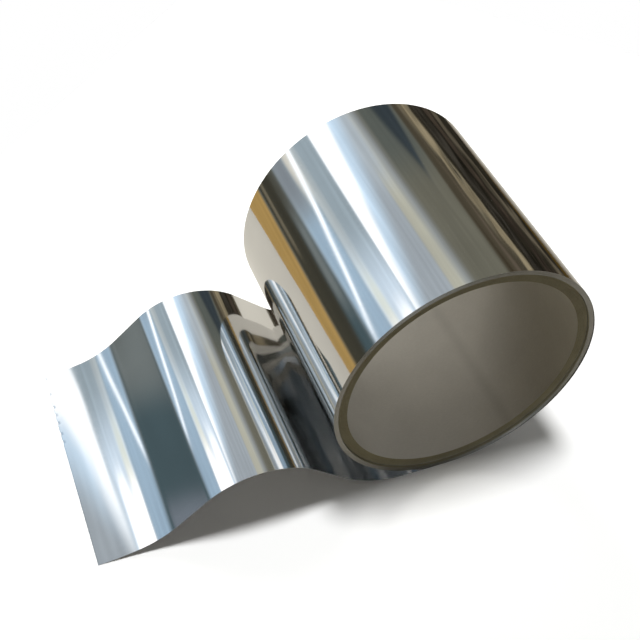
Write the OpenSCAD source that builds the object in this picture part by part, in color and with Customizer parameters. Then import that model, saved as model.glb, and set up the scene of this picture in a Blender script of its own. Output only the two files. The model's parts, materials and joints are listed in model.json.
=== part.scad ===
// Coil of titanium foil on a plain core tube, with the loose end of the strip lying in a wave beside it.
// The coil's axis is Y and passes through the origin, halfway along the strip's width.
// The strip leaves the coil at its lowest point and runs out towards -X, over a level floor.

/* [Core tube] */
// Diameter of the bore
core_bore_d = 152.4; // [76:0.1:200]
// Wall of the core tube
core_wall = 6.4; // [3:0.1:15]
// How far each end of the core tube stands back inside the winding
core_recess = 2; // [0:0.1:5]
// Clearance between the core tube and the innermost turn
core_clearance = 0.1; // [0.05:0.05:0.5]

/* [Foil] */
// Width of the strip
foil_w = 165; // [60:1:300]
// Thickness of the strip
foil_t = 0.1; // [0.08:0.01:0.3]
// Turns wound tight on the core tube
turns = 30; // [15:3:75]
// Turns in each band that shows on the coil's ends
turns_per_band = 3; // [2:1:8]
// How far the bands wander from the strip's true edge
band_wander = 0.25; // [0.1:0.05:0.6]

/* [Loose outer turn] */
// Angle at which the last turn lifts off the coil, above the horizontal on the side away from the tail
lift_angle = 50; // [20:1:80]
// Widest gap between the coil and its loose last turn
lift_gap = 1.2; // [0.6:0.1:4]

/* [Tail] */
// Length that lies on the floor beside the coil
foot_run = 27.5; // [20:0.5:60]
// Radius of the bend that rises from the floor
rise_r = 70; // [40:1:90]
// Steepest slope on the coil's side of the wave
rise_angle = 41.5; // [30:0.5:50]
// Height of the wave
wave_h = 49; // [42:1:80]
// Radius of the crest
crest_r = 54.5; // [35:0.5:70]
// Steepest slope on the far side of the wave
fall_angle = 41.5; // [28:0.5:48]
// Radius of the bend at the foot of the wave
toe_r = 66; // [25:1:80]
// Slope at which the bend at the foot of the wave eases
toe_angle = 13.5; // [10:0.5:20]
// Length of the gently bent free end
toe_run = 26; // [10:0.5:40]
// Slope at which the free end comes down to the floor
tip_angle = 4.5; // [2:0.5:8]

/* [Hidden] */
$fn = 180;
core_l = foil_w - 2 * core_recess;
wound_ri = core_bore_d / 2 + core_wall + core_clearance;
wound_r = wound_ri + turns * foil_t;
bands = round(turns / turns_per_band);
band_t = (wound_r - wound_ri) / bands;
// Step of the wander from one band to the next, an angle that never brings back the same depth
band_phase = 137.5;
// How deep the loose turn is pressed into the coil where it carries the coil's weight
seat = foil_t / 4;
// Most that the strip turns between neighbouring points of a bend
bend_step = 3;

// The strip's path runs through the middle of its thickness, as points [x, z, heading].
// The heading is 0 towards -X and grows as the strip turns upwards.
tail_start = [0, seat - wound_r - foil_t / 2, 0];
rise_run = (wave_h - (rise_r + crest_r) * (1 - cos(rise_angle))) / sin(rise_angle);
tip_r = toe_run / (toe_angle - tip_angle) * 180 / PI;
toe_drop = toe_r * (cos(toe_angle) - cos(fall_angle)) + tip_r * (cos(tip_angle) - cos(toe_angle));
fall_run = (wave_h - crest_r * (1 - cos(fall_angle)) - toe_drop) / sin(fall_angle);
// Each run is [length, 0] where the strip is straight and [radius, turn] where it bends
tail_runs = [
    [foot_run, 0],
    [rise_r, rise_angle],
    [rise_run, 0],
    [crest_r, -rise_angle - fall_angle],
    [fall_run, 0],
    [toe_r, fall_angle - toe_angle],
    [tip_r, toe_angle - tip_angle]
];

// The point that lies a given distance ahead, with the heading that the strip has there
function ahead(from, distance, heading, turned = 0) = [
    from.x - distance * cos(heading),
    from.y + distance * sin(heading),
    from.z + turned
];

// The points of one bend, each a chord further than the last
function bend_points(from, turn, chord, steps) =
    steps == 0
        ? []
        : let (next = ahead(from, chord, from.z + turn / 2, turn))
          concat([next], bend_points(next, turn, chord, steps - 1));

// The points of one run
function run_points(from, run) =
    run[1] == 0
        ? [ahead(from, run[0], from.z)]
        : let (steps = ceil(abs(run[1]) / bend_step), turn = run[1] / steps)
          bend_points(from, turn, 2 * run[0] * sin(abs(turn) / 2), steps);

// The points of all the runs, each of which starts where the one before it ends
function path_points(from, runs, i = 0) =
    i == len(runs)
        ? []
        : let (points = run_points(from, runs[i]))
          concat(points, path_points(points[len(points) - 1], runs, i + 1));

// The loose turn lifts off the coil's face and comes back under its lowest point
lift_span = lift_angle + 90;
lift_steps = ceil(lift_span / bend_step);
function lift_r(s) = wound_r - foil_t / 2 + (foil_t - seat) * s + lift_gap * pow(sin(180 * s), 2);
loose_points = [
    for (i = [0 : lift_steps - 1])
        let (s = i / lift_steps, angle = lift_angle - lift_span * s)
        [lift_r(s) * cos(angle), lift_r(s) * sin(angle), -90 - angle]
];

strip_path = concat(loose_points, [tail_start], path_points(tail_start, tail_runs));

// One face of the strip, half its thickness to one side of the path
function strip_face(side) = [
    for (p = strip_path)
        [p.x + side * foil_t / 2 * sin(p.z), p.y + side * foil_t / 2 * cos(p.z)]
];

function reversed(list) = [for (i = [len(list) - 1 : -1 : 0]) list[i]];

// How far a band of turns stands back from the strip's edge, counted from the outermost band
function band_in(i) = band_wander * abs(sin(band_phase * i));

module core_tube() {
    color("gray")
        rotate([90, 0, 0])
            rotate_extrude()
                translate([core_bore_d / 2, -core_l / 2])
                    square([core_wall, core_l]);
}

// Section of the tight winding, whose bands of turns step in and out at both ends
module winding_section() {
    near = [
        for (i = [0 : bands - 1], edge = [0, 1])
            [wound_ri + (i + edge) * band_t, band_in(bands - 1 - i) - foil_w / 2]
    ];
    far = [for (p = near) [p.x, -p.y]];
    polygon(concat(near, reversed(far)));
}

// Section of the loose turn and the tail
module strip_section() {
    polygon(concat(strip_face(1), reversed(strip_face(-1))));
}

module foil() {
    color("silver")
        rotate([90, 0, 0])
            union() {
                rotate_extrude()
                    winding_section();
                linear_extrude(height = foil_w, center = true)
                    strip_section();
            }
}

core_tube();
foil();
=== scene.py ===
"""Dresses a coil of bright titanium foil, lying on its side with its loose end rolled out in a wave."""

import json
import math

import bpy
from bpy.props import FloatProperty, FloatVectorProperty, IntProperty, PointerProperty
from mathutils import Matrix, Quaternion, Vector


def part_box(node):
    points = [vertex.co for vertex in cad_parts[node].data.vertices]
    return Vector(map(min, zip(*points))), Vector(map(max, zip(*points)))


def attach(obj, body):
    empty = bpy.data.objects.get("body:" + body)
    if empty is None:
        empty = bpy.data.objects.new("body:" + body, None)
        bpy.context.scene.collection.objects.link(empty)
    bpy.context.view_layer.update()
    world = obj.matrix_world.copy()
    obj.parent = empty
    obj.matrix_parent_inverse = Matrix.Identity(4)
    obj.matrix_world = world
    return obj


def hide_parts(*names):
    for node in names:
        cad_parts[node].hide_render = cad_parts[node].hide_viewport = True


bl_info = {
    "name": "Foil Coil",
    "version": (1, 0, 0),
    "blender": (4, 5, 0),
    "location": "3D View > Sidebar > Foil Coil",
    "description": "Makes a coil of titanium foil on its core tube, and the studio that it stands in",
    "category": "Object",
}

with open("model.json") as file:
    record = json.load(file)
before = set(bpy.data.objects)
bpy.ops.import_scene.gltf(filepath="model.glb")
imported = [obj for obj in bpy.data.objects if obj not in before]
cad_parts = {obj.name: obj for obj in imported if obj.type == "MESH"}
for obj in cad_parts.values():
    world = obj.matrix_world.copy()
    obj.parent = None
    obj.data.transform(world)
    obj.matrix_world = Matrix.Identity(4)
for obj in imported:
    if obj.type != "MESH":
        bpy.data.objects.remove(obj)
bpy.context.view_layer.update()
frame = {"record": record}

mounts = {mount["name"]: mount for mount in frame["record"]["mounts"]}
core_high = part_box("core_tube")[1]
foil_low, foil_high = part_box("foil")

MM = 0.001
BORE_R = mounts["core_bore"]["dims"]["r_mm"] * MM
CORE_R = core_high.x
CORE_HALF = core_high.y
STRIP_HALF = foil_high.y
CUT_END_X = foil_low.x
FLOOR_Z = foil_low.z

# Steps round the coil's axis in which the core tube and the winding are turned
CORE_SEGMENTS = 240
WINDING_SEGMENTS = 300
# Faces across the strip, narrow enough for the nicks
STRIP_SEGMENTS = 66
# Most that the strip turns between neighbouring edges of a bend
BEND_STEP = math.radians(1.5)
# Where the groove between two plies starts and where it is deepest, as parts of a ply
GROOVE_START = 0.88
GROOVE_MIDDLE = 0.94
# The edges of the turns wander both slowly and quickly: the angle in radians by which each wander goes on
# from one turn to the next, and the slow one's share of the depth
SLOW_WANDER = 0.83
QUICK_WANDER = 2.4
SLOW_SHARE = 0.6
# Nicks in the cut end: the place of each along it in millimetres, and its share of the full depth
NICKS = ((80.0, 0.6), (65.0, 0.8), (52.5, 1.0), (45.0, 0.7), (37.5, 1.0), (27.5, 0.8), (20.0, 0.6))
# Where the painted shade round a nick starts and where it is darkest, along the cut end and in from it
NICK_SHADE_ALONG = (2.2 * MM, 0.4 * MM)
NICK_SHADE_IN = (2.8 * MM, 0.8 * MM)
# Where the darker line along the whole cut end starts and where it is darkest, and how dark it gets
CUT_LINE_IN = (0.9 * MM, 0.2 * MM)
CUT_LINE_LEVEL = 0.3
# Tint of that darker line and of the painted shade round the nicks
CUT_LINE_AND_NICK_SHADE_TINT = (0.5, 0.55, 0.6)
# How near the cut end a face has to be to count as part of it
CUT_FACE = 0.02 * MM
# How often the foil's rolled lines change along the strip and across it, per metre, and how much they and
# the foil's clouds change its roughness
LINES_ALONG = 6.0
LINES_ACROSS = 900.0
ROUGHNESS_CHANGE = 0.05
# Where the liner's seam lies in the bore and how far it spreads, in degrees round the coil's axis, and how
# strong it is
SEAM_ANGLE = -54.2
SEAM_SPREAD = 5.0
SEAM_LEVEL = 0.3
# Side of the picture in pixels
IMAGE_SIDE = 640


class CoreSettings(bpy.types.PropertyGroup):
    """Sizes and colours of the core tube."""

    plies: IntProperty(name="Plies", description="Layers of board in the wall", default=8, min=1)
    edge_round: FloatProperty(
        name="Edge rounding", description="Radius of the wall's edges",
        default=0.4 * MM, unit="LENGTH", precision=5)
    ply_groove: FloatProperty(
        name="Ply groove", description="Depth of the groove between two plies at the ends",
        default=0.06 * MM, unit="LENGTH", precision=5)
    wall_colour: FloatVectorProperty(
        name="Wall colour", description="Colour of the liner inside the tube", subtype="COLOR",
        default=(0.55, 0.53, 0.5))
    end_colour: FloatVectorProperty(
        name="End colour", description="Colour of the cut board at the ends", subtype="COLOR",
        default=(0.33, 0.3, 0.21))


class FoilSettings(bpy.types.PropertyGroup):
    """Sizes and colours of the foil."""

    thickness: FloatProperty(
        name="Thickness", description="Thickness of the strip", default=0.1 * MM, unit="LENGTH", precision=5)
    turns: IntProperty(name="Turns", description="Turns wound tight on the core tube", default=30, min=1)
    clearance: FloatProperty(
        name="Core clearance", description="Gap between the core tube and the innermost turn",
        default=0.1 * MM, unit="LENGTH", precision=5)
    turn_wander: FloatProperty(
        name="Turn wander", description="How far a turn's edge stands back at the coil's ends",
        default=0.25 * MM, unit="LENGTH", precision=5)
    lift_angle: FloatProperty(
        name="Lift angle", description="Where the last turn lifts off, above the horizontal",
        default=math.radians(50), subtype="ANGLE")
    lift_gap: FloatProperty(
        name="Lift gap", description="Widest gap between the coil and its loose last turn",
        default=1.2 * MM, unit="LENGTH", precision=5)
    foot_run: FloatProperty(
        name="Foot run", description="Length that lies on the floor beside the coil",
        default=27.5 * MM, unit="LENGTH")
    rise_r: FloatProperty(
        name="Rise radius", description="Radius of the bend that rises from the floor",
        default=70 * MM, unit="LENGTH")
    rise_angle: FloatProperty(
        name="Rise angle", description="Steepest slope on the coil's side of the wave",
        default=math.radians(41.5), subtype="ANGLE")
    wave_h: FloatProperty(
        name="Wave height", description="Height of the wave", default=49 * MM, unit="LENGTH")
    crest_r: FloatProperty(
        name="Crest radius", description="Radius of the crest", default=54.5 * MM, unit="LENGTH")
    fall_angle: FloatProperty(
        name="Fall angle", description="Steepest slope on the far side of the wave",
        default=math.radians(41.5), subtype="ANGLE")
    toe_r: FloatProperty(
        name="Toe radius", description="Radius of the bend at the foot of the wave",
        default=66 * MM, unit="LENGTH")
    toe_angle: FloatProperty(
        name="Toe angle", description="Slope at which the bend at the foot of the wave eases",
        default=math.radians(13.5), subtype="ANGLE")
    toe_run: FloatProperty(
        name="Toe run", description="Length of the gently bent free end", default=26 * MM, unit="LENGTH")
    tip_angle: FloatProperty(
        name="Tip angle", description="Slope at which the free end comes down to the floor",
        default=math.radians(4.5), subtype="ANGLE")
    nick_depth: FloatProperty(
        name="Nick depth", description="Depth of the nicks that the shears left in the free end",
        default=0.7 * MM, unit="LENGTH", precision=5)
    colour: FloatVectorProperty(
        name="Colour", description="Colour of the bright face", subtype="COLOR", default=(0.73, 0.73, 0.725))
    roughness: FloatProperty(name="Roughness", description="Roughness of the bright face", default=0.07)
    # The slit edges' colour is kept dark partly as painted shade for the gaps between the turns, on top of
    # the cut metal's own colour
    edge_colour: FloatVectorProperty(
        name="Edge colour", description="Colour of the slit edges", subtype="COLOR",
        default=(0.35, 0.34, 0.31))


class StudioSettings(bpy.types.PropertyGroup):
    """Light, floor and camera."""

    overhead: FloatProperty(
        name="Overhead light", description="Level of the overhead soft box on the floor", default=0.87)
    behind: FloatProperty(
        name="Light from behind", description="Power of the lamp that shines into the bore from behind",
        default=0.4, unit="POWER")
    along: FloatProperty(
        name="Light along the bore", description="Power of the lamp that shines along the bore",
        default=0.77, unit="POWER")
    fill_warm: FloatVectorProperty(
        name="Warm fill", description="Even light from the loose end's side", subtype="COLOR",
        default=(0.078, 0.063, 0.039))
    fill_cool: FloatVectorProperty(
        name="Cool fill", description="Even light from the other side", subtype="COLOR",
        default=(0.168, 0.174, 0.174))
    floor_colour: FloatVectorProperty(
        name="Floor colour", description="Colour of the floor", subtype="COLOR", default=(0.97, 0.98, 0.995))
    floor_bounce: FloatVectorProperty(
        name="Floor's own light", description="Colour of the light that the floor throws back on the object",
        subtype="COLOR", default=(0.35, 0.32, 0.235))
    floor_mirrored: FloatVectorProperty(
        name="Floor in mirrors", description="Colour that the floor has in the foil", subtype="COLOR",
        default=(0.52, 0.5, 0.46))
    floor_distant: FloatVectorProperty(
        name="Distant floor in mirrors",
        description="Colour that the floor away from the tail has in the foil",
        subtype="COLOR", default=(0.07, 0.045, 0.012))
    focal_px: FloatProperty(
        name="Focal length", description="Focal length in pixels of a 640 pixel wide picture", default=990)
    centre_px: FloatVectorProperty(
        name="Picture centre", description="Pixel that the lens points at", size=2, default=(261.7, 425.2))
    target: FloatVectorProperty(
        name="Target", description="Point that the lens points at", size=3, subtype="XYZ",
        default=(-104.9 * MM, -9.8 * MM, -87.3 * MM))
    distance: FloatProperty(
        name="Distance", description="From the camera to its target", default=690 * MM, unit="LENGTH")
    azimuth: FloatProperty(
        name="Azimuth", description="How far the view is turned from the coil's axis",
        default=math.radians(19.67), subtype="ANGLE")
    elevation: FloatProperty(
        name="Elevation", description="How far the view looks down",
        default=math.radians(51.76), subtype="ANGLE")
    roll: FloatProperty(
        name="Roll", description="Tilt of the camera", default=math.radians(0.28), subtype="ANGLE")


class Wire:
    """An output in a node tree. Arithmetic on it adds Math nodes to that tree."""

    def __init__(self, tree, socket):
        self.tree = tree
        self.socket = socket

    def math(self, operation, *others):
        """A Math node that takes this output first."""
        return self.tree.math(operation, self, *others)

    def __add__(self, other):
        return self.math("ADD", other)

    def __radd__(self, other):
        return self.tree.math("ADD", other, self)

    def __sub__(self, other):
        return self.math("SUBTRACT", other)

    def __rsub__(self, other):
        return self.tree.math("SUBTRACT", other, self)

    def __mul__(self, other):
        return self.math("MULTIPLY", other)

    def __rmul__(self, other):
        return self.tree.math("MULTIPLY", other, self)

    def __truediv__(self, other):
        return self.math("DIVIDE", other)

    def __rtruediv__(self, other):
        return self.tree.math("DIVIDE", other, self)

    def __neg__(self):
        return self.math("MULTIPLY", -1.0)

    def __abs__(self):
        return self.math("ABSOLUTE")

    def kept_between(self, low, high):
        """This value, held between two limits."""
        return self.math("MAXIMUM", low).math("MINIMUM", high)

    def fade(self, start, end):
        """0 below start and 1 above end, or the other way round where end is the smaller."""
        low, high, at_low = (start, end, 0.0) if start < end else (end, start, 1.0)
        return self.tree.add(
            "ShaderNodeMapRange", {"interpolation_type": "SMOOTHSTEP"},
            {"Value": self, "From Min": low, "From Max": high, "To Min": at_low, "To Max": 1.0 - at_low})


class NodeTree:
    """The node tree of a material or a world, built up from nothing."""

    def __init__(self, owner):
        owner.use_nodes = True
        self.tree = owner.node_tree
        self.tree.nodes.clear()

    def add(self, kind, settings=None, inputs=None, output=0):
        """Add a node, with its settings first and then what goes into its sockets. Returns the output asked
        for, or a list of them where a list of names is given."""
        node = self.tree.nodes.new(kind)
        for name, value in (settings or {}).items():
            setattr(node, name, value)
        for name, value in (inputs or {}).items():
            if isinstance(value, Wire):
                self.tree.links.new(value.socket, node.inputs[name])
            else:
                node.inputs[name].default_value = value
        if isinstance(output, list):
            return [Wire(self, node.outputs[name]) for name in output]
        return Wire(self, node.outputs[output]) if node.outputs else None

    def math(self, operation, *values):
        return self.add("ShaderNodeMath", {"operation": operation}, dict(enumerate(values)))

    def place(self):
        """The place on the part, in metres in the part's own frame."""
        return self.add("ShaderNodeTexCoord", output="Object")

    def parts(self, vector, names="XYZ"):
        """The named parts of a vector, as a list."""
        return self.add("ShaderNodeSeparateXYZ", None, {"Vector": vector}, list(names))

    def vector(self, x, y, z):
        return self.add("ShaderNodeCombineXYZ", None, {"X": x, "Y": y, "Z": z})

    def rays(self, *kinds):
        """For each kind of ray, 1 where the ray is one of them and otherwise 0."""
        return self.add("ShaderNodeLightPath", output=list(kinds))

    def mix(self, factor, first, second, blend="MIX"):
        """Mix two colours."""
        first, second = (c if isinstance(c, Wire) else (*c, 1.0) for c in (first, second))
        return self.add(
            "ShaderNodeMix", {"data_type": "RGBA", "blend_type": blend},
            {0: factor, 6: first, 7: second}, output=2)

    def noise(self, vector, scale, detail=2.0, roughness=0.5):
        """A cloudy value from 0 to 1. Scale is how often it changes, per metre on a place."""
        return self.add(
            "ShaderNodeTexNoise", None,
            {"Vector": vector, "Scale": scale, "Detail": detail, "Roughness": roughness})

    def bump(self, height, strength, distance, **under):
        """A normal that follows a height, over the Normal in under where that is given."""
        return self.add(
            "ShaderNodeBump", None, {"Strength": strength, "Distance": distance, "Height": height, **under})


def at_share(colour, share):
    """A colour at a share of its brightness."""
    return [channel * share for channel in colour]


def two_tones(first, second, first_share):
    """One tone from 0 to 1, out of two noises."""
    return first.fade(0.3, 0.75) * first_share + second.fade(0.3, 0.7) * (1.0 - first_share)


def make_material(name, colour, metallic, finish, settings):
    """A Principled material. finish(tree, settings) returns what goes into the sockets that vary."""
    material = bpy.data.materials.new(name)
    tree = NodeTree(material)
    shader = tree.add("ShaderNodeBsdfPrincipled", None, {"Metallic": metallic, **finish(tree, settings)})
    tree.add("ShaderNodeOutputMaterial", None, {"Surface": shader})
    material.diffuse_color = (*colour, 1.0)
    return material


def bright_face(tree, settings):
    """Rolled foil: fine lines along the strip, and a sheet that isn't quite true. A darker line runs along
    the cut end, and painted shade darkens the face round each nick.
    """
    place = tree.place()
    x, y, z = tree.parts(place)
    lines = tree.noise(
        tree.vector(x * LINES_ALONG, y * LINES_ACROSS, z * LINES_ALONG),
        scale=1.0, detail=3.0, roughness=0.6)
    clouds = tree.noise(place, scale=22.0)
    sag = tree.noise(tree.vector(x, y * 0.35, z), scale=26.0, detail=1.0)
    uneven = (lines + clouds - 1.0) * ROUGHNESS_CHANGE
    # A darker line along the whole cut end, with the painted shade round the nicks over it
    in_from_end = x - CUT_END_X
    cut_line_and_nick_shade = in_from_end.fade(*CUT_LINE_IN) * CUT_LINE_LEVEL
    # Painted shade round each nick, in place of the shade that the nick's curl would cast
    for along, depth in NICKS:
        nick = abs(y - along * MM).fade(*NICK_SHADE_ALONG) * in_from_end.fade(*NICK_SHADE_IN) * depth
        cut_line_and_nick_shade = cut_line_and_nick_shade.math("MAXIMUM", nick)
    bright = tree.mix(clouds.fade(0.35, 0.7), settings.colour, at_share(settings.colour, 0.95))
    # Colour of the darker line along the cut end and of the painted shade round the nicks
    cut_line_and_nick_shade_colour = [channel * tint for channel, tint in zip(settings.colour, CUT_LINE_AND_NICK_SHADE_TINT)]
    swell = tree.bump(sag, strength=1.0, distance=0.25 * MM)
    return {
        "Base Color": tree.mix(cut_line_and_nick_shade, bright, cut_line_and_nick_shade_colour),
        "Roughness": uneven + settings.roughness,
        "Normal": tree.bump(lines, strength=0.25, distance=0.002 * MM, Normal=swell),
    }


def slit_edge(tree, settings):
    """The cut edges of the turns, seen end on as fine rings."""
    place = tree.place()
    x, z = tree.parts(place, "XZ")
    radius = (x * x + z * z).math("SQRT")
    rings = tree.noise(tree.vector(radius, 0.0, 0.0), scale=9000.0, detail=1.0)
    burrs = tree.noise(place, scale=700.0)
    shade = two_tones(burrs, rings, first_share=0.4)
    # The edge colour holds painted shade for the gaps between the turns, besides the edges' own colour
    return {
        "Base Color": tree.mix(shade, at_share(settings.edge_colour, 0.72), settings.edge_colour),
        "Roughness": burrs * 0.2 + 0.3,
        "Normal": tree.bump(shade, strength=0.4, distance=0.02 * MM),
    }


def paper_liner(tree, settings):
    """The liner of the tube, whose faint seam runs straight along the bore."""
    place = tree.place()
    x, y, z = tree.parts(place)
    round_the_bore = z.math("ARCTAN2", x) * math.degrees(1.0)
    seam = abs(round_the_bore - SEAM_ANGLE).fade(SEAM_SPREAD, 0.0) * SEAM_LEVEL
    fibres = tree.noise(tree.vector(x, y * 3.0, z), scale=420.0, detail=4.0, roughness=0.65)
    clouds = tree.noise(place, scale=30.0, detail=3.0)
    tone = two_tones(fibres, clouds, first_share=0.55)
    colour = tree.mix(tone, at_share(settings.wall_colour, 0.86), settings.wall_colour)
    return {
        "Base Color": tree.mix(seam, colour, at_share(settings.wall_colour, 0.6)),
        "Roughness": fibres * 0.15 + 0.68,
        "Normal": tree.bump(fibres, strength=0.5, distance=0.05 * MM),
    }


def cut_board(tree, settings):
    """The sawn end of the tube, with the fibres of its plies."""
    place = tree.place()
    fibres = tree.noise(place, scale=900.0, detail=4.0, roughness=0.7)
    clouds = tree.noise(place, scale=60.0)
    tone = two_tones(fibres, clouds, first_share=0.6)
    return {
        "Base Color": tree.mix(tone, at_share(settings.end_colour, 0.75), settings.end_colour),
        "Roughness": fibres * 0.1 + 0.8,
        "Normal": tree.bump(fibres, strength=0.6, distance=0.06 * MM),
    }


def begin_piece(name, add_primitive, **settings):
    """Add a primitive under a new name and open it for editing, with nothing else selected."""
    if bpy.context.object and bpy.context.object.mode != "OBJECT":
        bpy.ops.object.mode_set(mode="OBJECT")
    bpy.ops.object.select_all(action="DESELECT")
    add_primitive(**settings)
    piece = bpy.context.object
    piece.name = name
    piece.data.name = name
    bpy.ops.object.mode_set(mode="EDIT")
    bpy.ops.mesh.select_mode(type="VERT")
    return piece


def end_piece(piece):
    """Close the mesh, face it outwards and put the object at the origin with its place in its mesh."""
    bpy.ops.mesh.select_all(action="SELECT")
    bpy.ops.mesh.remove_doubles(threshold=0.001 * MM)
    bpy.ops.mesh.normals_make_consistent(inside=False)
    bpy.ops.object.mode_set(mode="OBJECT")
    bpy.ops.object.transform_apply(location=True, rotation=True, scale=True)


def select_vertices(piece, test):
    """Select the vertices whose place passes a test, and the edges between them."""
    bpy.ops.mesh.select_all(action="DESELECT")
    bpy.ops.object.mode_set(mode="OBJECT")
    for vertex in piece.data.vertices:
        vertex.select = test(vertex.co)
    bpy.ops.object.mode_set(mode="EDIT")


def apply_modifier(piece, kind, **settings):
    """Add a modifier with these settings and apply it."""
    modifier = piece.modifiers.new(kind.title(), kind)
    for name, value in settings.items():
        setattr(modifier, name, value)
    bpy.ops.object.modifier_apply(modifier=modifier.name)


def extrude(x=0.0, y=0.0, z=0.0):
    """Extrude what is selected, and move the new part."""
    bpy.ops.mesh.extrude_region_move(TRANSFORM_OT_translate={"value": (x, y, z)})


def resize(x, y, z):
    """Scale what is selected, from the origin."""
    bpy.ops.transform.resize(value=(x, y, z), center_override=(0.0, 0.0, 0.0))


def rotate(angle, axis):
    """Turn what is selected, round the origin."""
    bpy.ops.transform.rotate(value=angle, orient_axis=axis, center_override=(0.0, 0.0, 0.0))


def is_end(centre, normal):
    """Whether a face looks along the coil's axis."""
    return abs(normal.y) > 0.5


def is_end_or_cut(centre, normal):
    """Whether a face looks along the coil's axis or lies at the cut end."""
    return is_end(centre, normal) or abs(centre.x - CUT_END_X) < CUT_FACE


def dress(piece, surface, ends, at_end, sharp):
    """Give a piece its two materials, and smooth it below a sharp angle. at_end tells from its centre and
    its normal whether a face belongs to the ends."""
    piece.data.materials.append(surface)
    piece.data.materials.append(ends)
    for face in piece.data.polygons:
        if at_end(face.center, face.normal):
            face.material_index = 1
    bpy.ops.object.shade_smooth_by_angle(angle=sharp)


def turn_depth(turn, wander):
    """How far the edge of a turn stands back from the strip's true edge."""
    slow = 0.5 - 0.5 * math.cos(turn * SLOW_WANDER)
    quick = abs(math.sin(turn * QUICK_WANDER))
    return wander * (SLOW_SHARE * slow + (1.0 - SLOW_SHARE) * quick) if turn else 0.0


def revolve_outline(piece_name, segments, outline):
    """A turned ring round the coil's axis, from its outline of radii and places along the axis."""
    radius, along = outline[0]
    piece = begin_piece(
        piece_name, bpy.ops.mesh.primitive_circle_add, vertices=segments, radius=radius,
        location=(0.0, along, 0.0), rotation=(math.radians(90), 0.0, 0.0))
    bpy.ops.object.mode_set(mode="OBJECT")
    bpy.ops.object.transform_apply(location=True, rotation=True, scale=True)
    bpy.ops.object.mode_set(mode="EDIT")
    for new_radius, new_along in [*outline[1:], outline[0]]:
        if new_radius == radius:
            extrude(y=new_along - along)
        else:
            extrude()
            resize(new_radius / radius, 1.0, new_radius / radius)
            if new_along != along:
                bpy.ops.transform.translate(value=(0.0, new_along - along, 0.0))
        radius, along = new_radius, new_along
    end_piece(piece)
    return piece


def winding_outline(settings):
    """Outline of the tight winding: every turn's edge stands at its own depth at both ends."""
    inner = CORE_R + settings.clearance
    outer = inner + settings.turns * settings.thickness
    half_outline = []
    for turn in range(settings.turns):
        depth = STRIP_HALF - turn_depth(turn, settings.turn_wander)
        half_outline.append((outer - turn * settings.thickness, depth))
        half_outline.append((outer - (turn + 1) * settings.thickness, depth))
    return half_outline + [(radius, -along) for radius, along in reversed(half_outline)]


class FoilPath:
    """Lays the strip down step by step from the edge that is selected. It is in the XZ plane,
    and its heading is 0 towards -X and grows as the strip turns upwards."""

    def __init__(self, x, z, heading):
        self.x = x
        self.z = z
        self.heading = heading

    def run_to(self, x, z):
        """Go straight to a point."""
        extrude(x=x - self.x, z=z - self.z)
        self.x, self.z = x, z

    def run(self, length, steps):
        """Go straight on for a length."""
        step = length / steps
        for _ in range(steps):
            self.run_to(self.x - step * math.cos(self.heading), self.z + step * math.sin(self.heading))

    def bend(self, radius, turn):
        """Spin the edge round the centre of the bend, upwards where the turn is positive."""
        side = math.copysign(radius, turn)
        centre_x = self.x + side * math.sin(self.heading)
        centre_z = self.z + side * math.cos(self.heading)
        bpy.ops.mesh.spin(
            steps=math.ceil(abs(turn) / BEND_STEP), angle=-turn,
            center=(centre_x, 0.0, centre_z), axis=(0.0, 1.0, 0.0))
        self.heading += turn
        self.x = centre_x - side * math.sin(self.heading)
        self.z = centre_z - side * math.cos(self.heading)


def lay_strip(settings):
    """The loose last turn and the tail, as an open sheet through the middle of the strip's thickness."""
    wound_r = CORE_R + settings.clearance + settings.turns * settings.thickness
    half = settings.thickness / 2.0
    seat = FLOOR_Z + wound_r + settings.thickness
    span = settings.lift_angle + math.radians(90)
    steps = math.ceil(span / BEND_STEP)

    def loose_point(number):
        part = number / steps
        angle = settings.lift_angle - span * part
        radius = (wound_r - half + (settings.thickness - seat) * part
                  + settings.lift_gap * math.sin(math.pi * part) ** 2)
        return radius * math.cos(angle), radius * math.sin(angle)

    first, second = Vector(loose_point(0)), Vector(loose_point(1))
    middle, step = (first + second) / 2.0, second - first
    piece = begin_piece(
        "titanium_foil_strip", bpy.ops.mesh.primitive_grid_add,
        x_subdivisions=1, y_subdivisions=STRIP_SEGMENTS, size=2.0)
    resize(step.length / 2.0, STRIP_HALF, 1.0)
    rotate(math.atan2(step.y, step.x), "Y")
    bpy.ops.transform.translate(value=(middle.x, 0.0, middle.y))
    select_vertices(piece, lambda place: (place.xz - second).length < step.length / 2.0)
    path = FoilPath(second.x, second.y, 0.0)
    for number in range(2, steps):
        path.run_to(*loose_point(number))
    path.run_to(0.0, FLOOR_Z + half)
    path.run(settings.foot_run, steps=4)
    path.bend(settings.rise_r, settings.rise_angle)
    bends = (settings.rise_r + settings.crest_r) * (1.0 - math.cos(settings.rise_angle))
    path.run((settings.wave_h - bends) / math.sin(settings.rise_angle), steps=4)
    path.bend(settings.crest_r, -settings.rise_angle - settings.fall_angle)
    tip_turn = settings.toe_angle - settings.tip_angle
    tip_r = settings.toe_run / tip_turn
    toe_drop = (settings.toe_r * (math.cos(settings.toe_angle) - math.cos(settings.fall_angle))
                + tip_r * (math.cos(settings.tip_angle) - math.cos(settings.toe_angle)))
    fall = settings.wave_h - settings.crest_r * (1.0 - math.cos(settings.fall_angle)) - toe_drop
    path.run(fall / math.sin(settings.fall_angle), steps=5)
    path.bend(settings.toe_r, settings.fall_angle - settings.toe_angle)
    path.bend(tip_r, tip_turn)
    gap = 2.0 * STRIP_HALF / STRIP_SEGMENTS
    for along, depth in NICKS:
        select_vertices(
            piece, lambda place: place.x < path.x + gap / 4.0 and abs(place.y - along * MM) < gap / 4.0)
        cut = settings.nick_depth * depth
        bpy.ops.transform.translate(value=(cut * math.cos(path.heading), 0.0, -cut * math.sin(path.heading)))
    end_piece(piece)
    return piece


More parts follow.
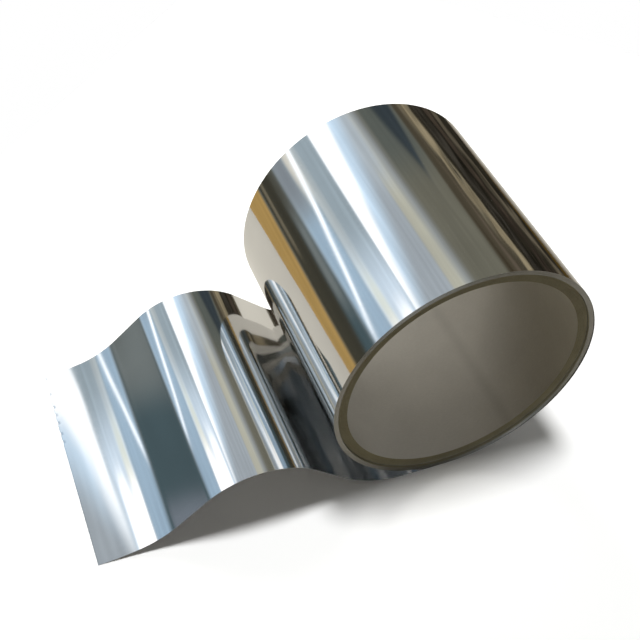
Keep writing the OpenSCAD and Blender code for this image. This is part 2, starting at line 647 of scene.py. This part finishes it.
class MakeCore(bpy.types.Operator):
    """Make the core tube, with its plies at the ends and its rounded edges"""

    bl_idname = "foil_coil.make_core"
    bl_label = "Make core tube"

    def execute(self, context):
        settings = context.scene.foil_core
        ply = (CORE_R - BORE_R) / settings.plies
        half_outline = []
        for number in range(settings.plies):
            radius = CORE_R - number * ply
            half_outline.append((radius, CORE_HALF))
            if number < settings.plies - 1:
                half_outline.append((radius - ply * GROOVE_START, CORE_HALF))
                half_outline.append((radius - ply * GROOVE_MIDDLE, CORE_HALF - settings.ply_groove))
        half_outline.append((BORE_R, CORE_HALF))
        outline = half_outline + [(radius, -along) for radius, along in reversed(half_outline)]
        piece = revolve_outline("core_board_tube", CORE_SEGMENTS, outline)
        apply_modifier(
            piece, "BEVEL", width=settings.edge_round, segments=3, limit_method="ANGLE",
            angle_limit=math.radians(60))
        wall = make_material("core board liner", settings.wall_colour, 0.0, paper_liner, settings)
        end = make_material("core board end", settings.end_colour, 0.0, cut_board, settings)
        dress(piece, wall, end, is_end, sharp=math.radians(40))
        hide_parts("core_tube")
        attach(piece, "root")
        return {"FINISHED"}


class MakeFoil(bpy.types.Operator):
    """Make the foil: the tight winding, its loose last turn and the tail"""

    bl_idname = "foil_coil.make_foil"
    bl_label = "Make foil"

    def execute(self, context):
        settings = context.scene.foil_sheet
        face = make_material("titanium bright face", settings.colour, 1.0, bright_face, settings)
        edge = make_material("titanium slit edge", settings.edge_colour, 1.0, slit_edge, settings)
        winding = revolve_outline("titanium_foil_winding", WINDING_SEGMENTS, winding_outline(settings))
        dress(winding, face, edge, is_end, sharp=math.radians(30))
        strip = lay_strip(settings)
        apply_modifier(
            strip, "SOLIDIFY", thickness=settings.thickness, offset=0.0, use_even_offset=True, use_rim=True)
        dress(strip, face, edge, is_end_or_cut, sharp=math.radians(30))
        for piece in (winding, strip):
            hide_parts("foil")
            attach(piece, "root")
        return {"FINISHED"}


class Strip:
    """One strip of the studio's surround, which runs along the coil's axis. Its edges are angles in degrees
    round that axis, 90 straight up and 180 towards the loose end, in the far part of the surround and in the
    near one. Where its edges cross it ends, so a strip may be a wedge. soft is how far each edge fades, in
    degrees. ends, where given, are the part of the way to the far edges at which the strip starts to show,
    and at which it shows in full."""

    def __init__(self, colour, far, near, soft, ends=None):
        self.colour = colour
        self.far = far
        self.near = near
        self.soft = soft
        self.ends = ends

    def cover(self, angle, lean):
        """1 inside the strip and 0 outside it. lean is 1 at the far edges and 0 at the near ones."""
        low, high = (lean * (far - near) + near for far, near in zip(self.far, self.near))
        soft_low, soft_high = self.soft
        cover = ((angle - low) / soft_low).fade(-1.0, 1.0) * ((high - angle) / soft_high).fade(-1.0, 1.0)
        return cover * lean.fade(*self.ends) if self.ends else cover


# The surround's radius in metres, its colour between the strips, and the strips, of which each lies over
# the ones before it
SURROUND_R = 1.7
SURROUND_BASE = (0.19, 0.185, 0.145)
SURROUND = (
    Strip((0.4, 0.37, 0.3), (-95, -32), (-95, -36), (2, 8)),
    Strip((0.022, 0.019, 0.013), (-27, 22.5), (-26, 18.7), (6, 1.5)),
    Strip((0.1, 0.085, 0.06), (-9, -5), (-13, -6), (3, 3)),
    Strip((0.07, 0.054, 0.04), (0, 4), (-1, 4), (2, 2)),
    Strip((0.045, 0.04, 0.032), (11, 16), (11, 16), (1.5, 1.5)),
    Strip((0.27, 0.225, 0.145), (22.5, 31), (18.7, 25), (1.2, 1.5)),
    Strip((0.088, 0.074, 0.05), (31, 40), (25, 43), (1.5, 1.5)),
    Strip((0.125, 0.1, 0.075), (33, 32), (31.5, 35), (1.5, 1.5)),
    Strip((0.05, 0.038, 0.022), (40, 38), (37.5, 40.5), (1.2, 1.2)),
    Strip((0.13, 0.145, 0.13), (40, 71), (40, 71), (3, 3), (0.75, 1.05)),
    Strip((0.046, 0.06, 0.07), (46, 54), (68.5, 31.5), (2, 3)),
    Strip((0.46, 0.515, 0.565), (75.5, 163), (75.5, 163), (6.5, 2)),
    Strip((0.64, 0.635, 0.53), (79, 88.5), (78, 88.5), (4, 1.2)),
    Strip((0.57, 0.64, 0.7), (80, 93), (80, 93), (4, 4), (0.75, 1.05)),
    Strip((0.8, 1.02, 1.24), (97, 121.5), (123, 121.5), (7.5, 1.5)),
    Strip((1.9, 1.9, 1.9), (107, 121), (130.5, 121.8), (3.5, 1.3)),
    Strip((1.6, 1.65, 1.7), (112, 121), (120.8, 121.8), (3, 1.2)),
    Strip((0.4, 0.49, 0.55), (121.3, 164.5), (121.9, 162), (0.8, 3)),
    Strip((0.58, 0.65, 0.68), (137, 143.5), (137, 143), (2.5, 1.5)),
    Strip((0.84, 1.0, 1.17), (122, 144), (122, 144), (1.5, 2.5), (0.85, 0.35)),
    Strip((0.95, 1.02, 0.95), (137, 142.8), (137, 142.8), (1.8, 1.5), (0.7, 0.4)),
    Strip((1.7, 1.75, 1.8), (124.3, 131.5), (124.3, 133), (1.2, 3), (0.42, 0.2)),
    Strip((1.3, 1.3, 1.22), (137, 142.5), (137, 142.5), (1.8, 1.5), (0.4, 0.1)),
    Strip((1.8, 1.8, 1.8), (124.3, 143), (125, 145), (2.2, 3.2), (0.3, 0.02)),
    Strip((0.44, 0.6, 0.76), (145, 163), (144, 162), (1.5, 3), (1.05, 0.85)),
    Strip((0.3, 0.34, 0.38), (152, 164), (152, 164), (2, 2), (0.9, 1.1)),
    Strip((0.85, 0.83, 0.75), (142, 151), (142, 151), (2, 2), (0.95, 1.15)),
    Strip((1.75, 1.85, 1.95), (145.4, 148.6), (163.4, 165.6), (1.9, 1.9), (0.1, 0.35)),
    Strip((0.08, 0.123, 0.14), (166, 200), (161.5, 200), (3.5, 3)),
    Strip((0.22, 0.25, 0.25), (166, 172), (165.5, 172.5), (1.5, 1.5), (0.35, 0.65)),
    Strip((0.22, 0.255, 0.3), (165, 173), (165, 173), (2, 3), (-0.02, -0.2)),
    Strip((0.11, 0.11, 0.09), (165, 174), (165, 174), (3, 3), (0.9, 1.1)),
    Strip((0.06, 0.057, 0.042), (171.5, 187), (173, 187), (2.5, 1.5)),
    Strip((0.21, 0.185, 0.13), (181.8, 184.5), (181.8, 184.5), (0.8, 1.2), (0.8, 0.95)),
    Strip((0.51, 0.332, 0.115), (188.5, 215), (187.5, 215), (2.2, 1.5)),
    Strip((0.5, 0.47, 0.42), (215, 275), (215, 275), (1.5, 2)),
)
# How much a direction leans along the axis where the strips have their far edges and where they have their
# near ones. Their edges go on straight past both, up to the limits, where far is 1 and near is 0.
FAR_LEAN = 0.7
NEAR_LEAN = 0.5
LEAN_LIMITS = (-0.5, 1.5)
# The side of the coil away from the loose end mirrors a darker and more broken scene: the angles at which
# that starts and is full, how many degrees it moves the strips' edges, and how uneven it makes them
DARK_SIDE = (38.0, 22.0)
DARK_SHIFT = 20.0
DARK_STREAKS = 4.5
# How uneven the strips are everywhere, and the least that is left of their light
STREAKS = 0.7
LEAST_STREAK = 0.25
# How often the broken edges and the streaks change, per degree round the axis and with the lean
RAGGED_SCALE = (0.16, 3.2)
STREAK_SCALE = (0.25, 0.7)
SURROUND_SEGMENTS = 96


def surround_finish(name):
    """Long strips of wall, window and soft box that bright metal mirrors."""
    material = bpy.data.materials.new(name)
    material.cycles.emission_sampling = "NONE"
    tree = NodeTree(material)
    direction = tree.add("ShaderNodeVectorMath", {"operation": "NORMALIZE"}, {0: tree.place()})
    x, y, z = tree.parts(direction)
    angle = (-x).math("ARCTAN2", z) * math.degrees(1.0) + 90.0
    lean = ((abs(y) - NEAR_LEAN) / (FAR_LEAN - NEAR_LEAN)).kept_between(*LEAN_LIMITS)
    dark_side = angle.fade(*DARK_SIDE)
    ragged = tree.noise(tree.vector(angle * RAGGED_SCALE[0], lean * RAGGED_SCALE[1], 0.0), scale=1.0)
    angle = (ragged - 0.5) * dark_side * DARK_SHIFT + angle
    colour = SURROUND_BASE
    for strip in SURROUND:
        colour = tree.mix(strip.cover(angle, lean), colour, strip.colour)
    uneven = tree.noise(
        tree.vector(angle * STREAK_SCALE[0], lean * STREAK_SCALE[1], 0.0),
        scale=1.0, detail=3.0, roughness=0.6)
    streaks = ((uneven - 0.5) * (dark_side * DARK_STREAKS + STREAKS) + 1.0).math("MAXIMUM", LEAST_STREAK)
    colour = tree.mix(1.0, colour, tree.vector(streaks, streaks, streaks), "MULTIPLY")
    glow = tree.add("ShaderNodeEmission", None, {"Color": colour, "Strength": 1.0})
    tree.add("ShaderNodeOutputMaterial", None, {"Surface": glow})
    return material


WHITE = (1.0, 1.0, 1.0)
BLACK = (0.0, 0.0, 0.0)
# Half the floor's length and width in metres, and how far it is turned round the vertical
FLOOR_HALF = (0.5, 0.41)
FLOOR_TURN = math.radians(-42)
# How far the floor lies below the foil, so that the two don't touch
FLOOR_GAP = 0.01 * MM
# Light that the camera sees the floor give off by itself
FLOOR_LIFT = (0.03, 0.03, 0.03)
# Where on the X axis the floor in the foil starts to turn into the distant floor, and where it has
FLOOR_FADE = (0.17, 0.39)
# The direction that the overhead soft box stands in, how wide it looks from the coil, and its colour
SOFT_BOX_DIRECTION = Vector((0.02, 0.12, 1.0)).normalized()
SOFT_BOX_WIDTH = math.radians(14)
SOFT_BOX_COLOUR = (1.0, 0.995, 0.98)
# The places, colour and width of the two lamps that light the bore from the coil's far end
BEHIND_PLACE = Vector((-0.18, 0.29, 0.295))
ALONG_PLACE = Vector((0.07, 0.4, 0.27))
LAMP_COLOUR = (1.0, 0.98, 0.9)
LAMP_WIDTH = 0.14
# Times that light may go to and fro between the coil and the wave
BOUNCES = 24


def build_world(world, settings):
    """Even light on whatever is matt, and a white background."""
    tree = NodeTree(world)
    x = tree.parts(tree.add("ShaderNodeTexCoord", output="Generated"), "X")[0]
    seen, through = tree.rays("Is Camera Ray", "Is Transmission Ray")
    fill = tree.mix(x.fade(-0.6, 0.6), settings.fill_warm, settings.fill_cool)
    colour = tree.mix(seen.math("MAXIMUM", through), fill, WHITE)
    background = tree.add("ShaderNodeBackground", None, {"Color": colour, "Strength": 1.0})
    tree.add("ShaderNodeOutputWorld", None, {"Surface": background})


def floor_finish(name, settings):
    """Matt pale floor. What the camera sees of it is lifted a little, so that it meets the background."""
    material = bpy.data.materials.new(name)
    tree = NodeTree(material)
    seen, mirrored = tree.rays("Is Camera Ray", "Is Glossy Ray")
    x = tree.parts(tree.place(), "X")[0]
    reflected = tree.mix(x.fade(*FLOOR_FADE), settings.floor_mirrored, settings.floor_distant)
    unseen = tree.mix(mirrored, settings.floor_bounce, reflected)
    matt = tree.add("ShaderNodeBsdfPrincipled", None, {
        "Base Color": tree.mix(seen, unseen, settings.floor_colour),
        "Roughness": 0.9,
        "Specular IOR Level": 0.0,
        "Emission Color": tree.mix(seen, BLACK, FLOOR_LIFT),
        "Emission Strength": 1.0,
    })
    tree.add("ShaderNodeOutputMaterial", None, {"Surface": matt})
    return material


class MakeStage(bpy.types.Operator):
    """Make the floor, the light and the camera"""

    bl_idname = "foil_coil.make_stage"
    bl_label = "Make stage"

    def execute(self, context):
        settings = context.scene.foil_studio
        self.make_floor(settings)
        self.make_surround()
        self.make_light(context.scene, settings)
        self.make_camera(context.scene, settings)
        return {"FINISHED"}

    def make_floor(self, settings):
        floor = begin_piece("floor", bpy.ops.mesh.primitive_plane_add, size=2.0)
        resize(*FLOOR_HALF, 1.0)
        rotate(FLOOR_TURN, "Z")
        bpy.ops.transform.translate(value=(0.0, 0.0, FLOOR_Z - FLOOR_GAP))
        bpy.ops.object.mode_set(mode="OBJECT")
        floor.data.materials.append(floor_finish("pale floor", settings))

    def make_surround(self):
        """A sphere round the coil and the camera, which shows in the foil alone."""
        surround = begin_piece(
            "surround", bpy.ops.mesh.primitive_uv_sphere_add,
            segments=SURROUND_SEGMENTS, ring_count=SURROUND_SEGMENTS // 2, radius=SURROUND_R)
        bpy.ops.mesh.flip_normals()
        bpy.ops.object.mode_set(mode="OBJECT")
        surround.data.materials.append(surround_finish("studio surround"))
        for kind in ("camera", "diffuse", "transmission", "volume_scatter", "shadow"):
            setattr(surround, f"visible_{kind}", False)

    def make_light(self, scene, settings):
        scene.world = bpy.data.worlds.new("studio light")
        build_world(scene.world, settings)
        self.add_lamp(
            "overhead soft box", "SUN", SOFT_BOX_DIRECTION, SOFT_BOX_COLOUR,
            energy=settings.overhead * math.pi / SOFT_BOX_DIRECTION.z, angle=SOFT_BOX_WIDTH)
        self.add_lamp(
            "lamp behind", "AREA", BEHIND_PLACE, LAMP_COLOUR,
            energy=settings.behind, shape="DISK", size=LAMP_WIDTH)
        self.add_lamp(
            "lamp along the bore", "AREA", ALONG_PLACE, LAMP_COLOUR,
            energy=settings.along, shape="DISK", size=LAMP_WIDTH)
        scene.view_settings.view_transform = "Standard"
        scene.cycles.max_bounces = BOUNCES
        scene.cycles.glossy_bounces = BOUNCES

    def add_lamp(self, name, kind, place, colour, **settings):
        """A lamp that faces the coil, and that neither the camera nor the foil shows."""
        bpy.ops.object.light_add(type=kind, location=place)
        lamp = bpy.context.object
        lamp.name = name
        lamp.rotation_euler = (-place).to_track_quat("-Z", "Y").to_euler()
        lamp.data.color = colour
        for setting, value in settings.items():
            setattr(lamp.data, setting, value)
        lamp.visible_camera = False
        lamp.visible_glossy = False

    def make_camera(self, scene, settings):
        look = Vector((
            math.sin(settings.azimuth) * math.cos(settings.elevation),
            math.cos(settings.azimuth) * math.cos(settings.elevation),
            -math.sin(settings.elevation)))
        place = Vector(settings.target) - look * settings.distance
        bpy.ops.object.camera_add(location=place)
        camera = bpy.context.object
        camera.name = "camera"
        turned = look.to_track_quat("-Z", "Y") @ Quaternion((0.0, 0.0, 1.0), settings.roll)
        camera.rotation_euler = turned.to_euler()
        camera.data.lens = settings.focal_px / IMAGE_SIDE * camera.data.sensor_width
        camera.data.shift_x = (IMAGE_SIDE / 2.0 - settings.centre_px[0]) / IMAGE_SIDE
        camera.data.shift_y = (settings.centre_px[1] - IMAGE_SIDE / 2.0) / IMAGE_SIDE
        camera.data.clip_start = 0.01
        scene.camera = camera


class FoilCoilPanel(bpy.types.Panel):
    """The settings and the steps of the foil coil"""

    bl_idname = "VIEW3D_PT_foil_coil"
    bl_label = "Foil Coil"
    bl_space_type = "VIEW_3D"
    bl_region_type = "UI"
    bl_category = "Foil Coil"

    def draw(self, context):
        for name, settings, operator in STEPS:
            column = self.layout.box().column()
            for setting in settings.__annotations__:
                column.prop(getattr(context.scene, name), setting)
            column.operator(operator.bl_idname)


# The steps in the order in which they run: where a scene keeps the settings, the settings and the operator
STEPS = (
    ("foil_core", CoreSettings, MakeCore),
    ("foil_sheet", FoilSettings, MakeFoil),
    ("foil_studio", StudioSettings, MakeStage),
)


def register():
    for name, settings, operator in STEPS:
        bpy.utils.register_class(settings)
        bpy.utils.register_class(operator)
        setattr(bpy.types.Scene, name, PointerProperty(type=settings))
    bpy.utils.register_class(FoilCoilPanel)


def unregister():
    bpy.utils.unregister_class(FoilCoilPanel)
    for name, settings, operator in reversed(STEPS):
        delattr(bpy.types.Scene, name)
        bpy.utils.unregister_class(operator)
        bpy.utils.unregister_class(settings)


def main():
    register()
    bpy.ops.foil_coil.make_core()
    bpy.ops.foil_coil.make_foil()
    bpy.ops.foil_coil.make_stage()


if __name__ == "__main__":
    main()
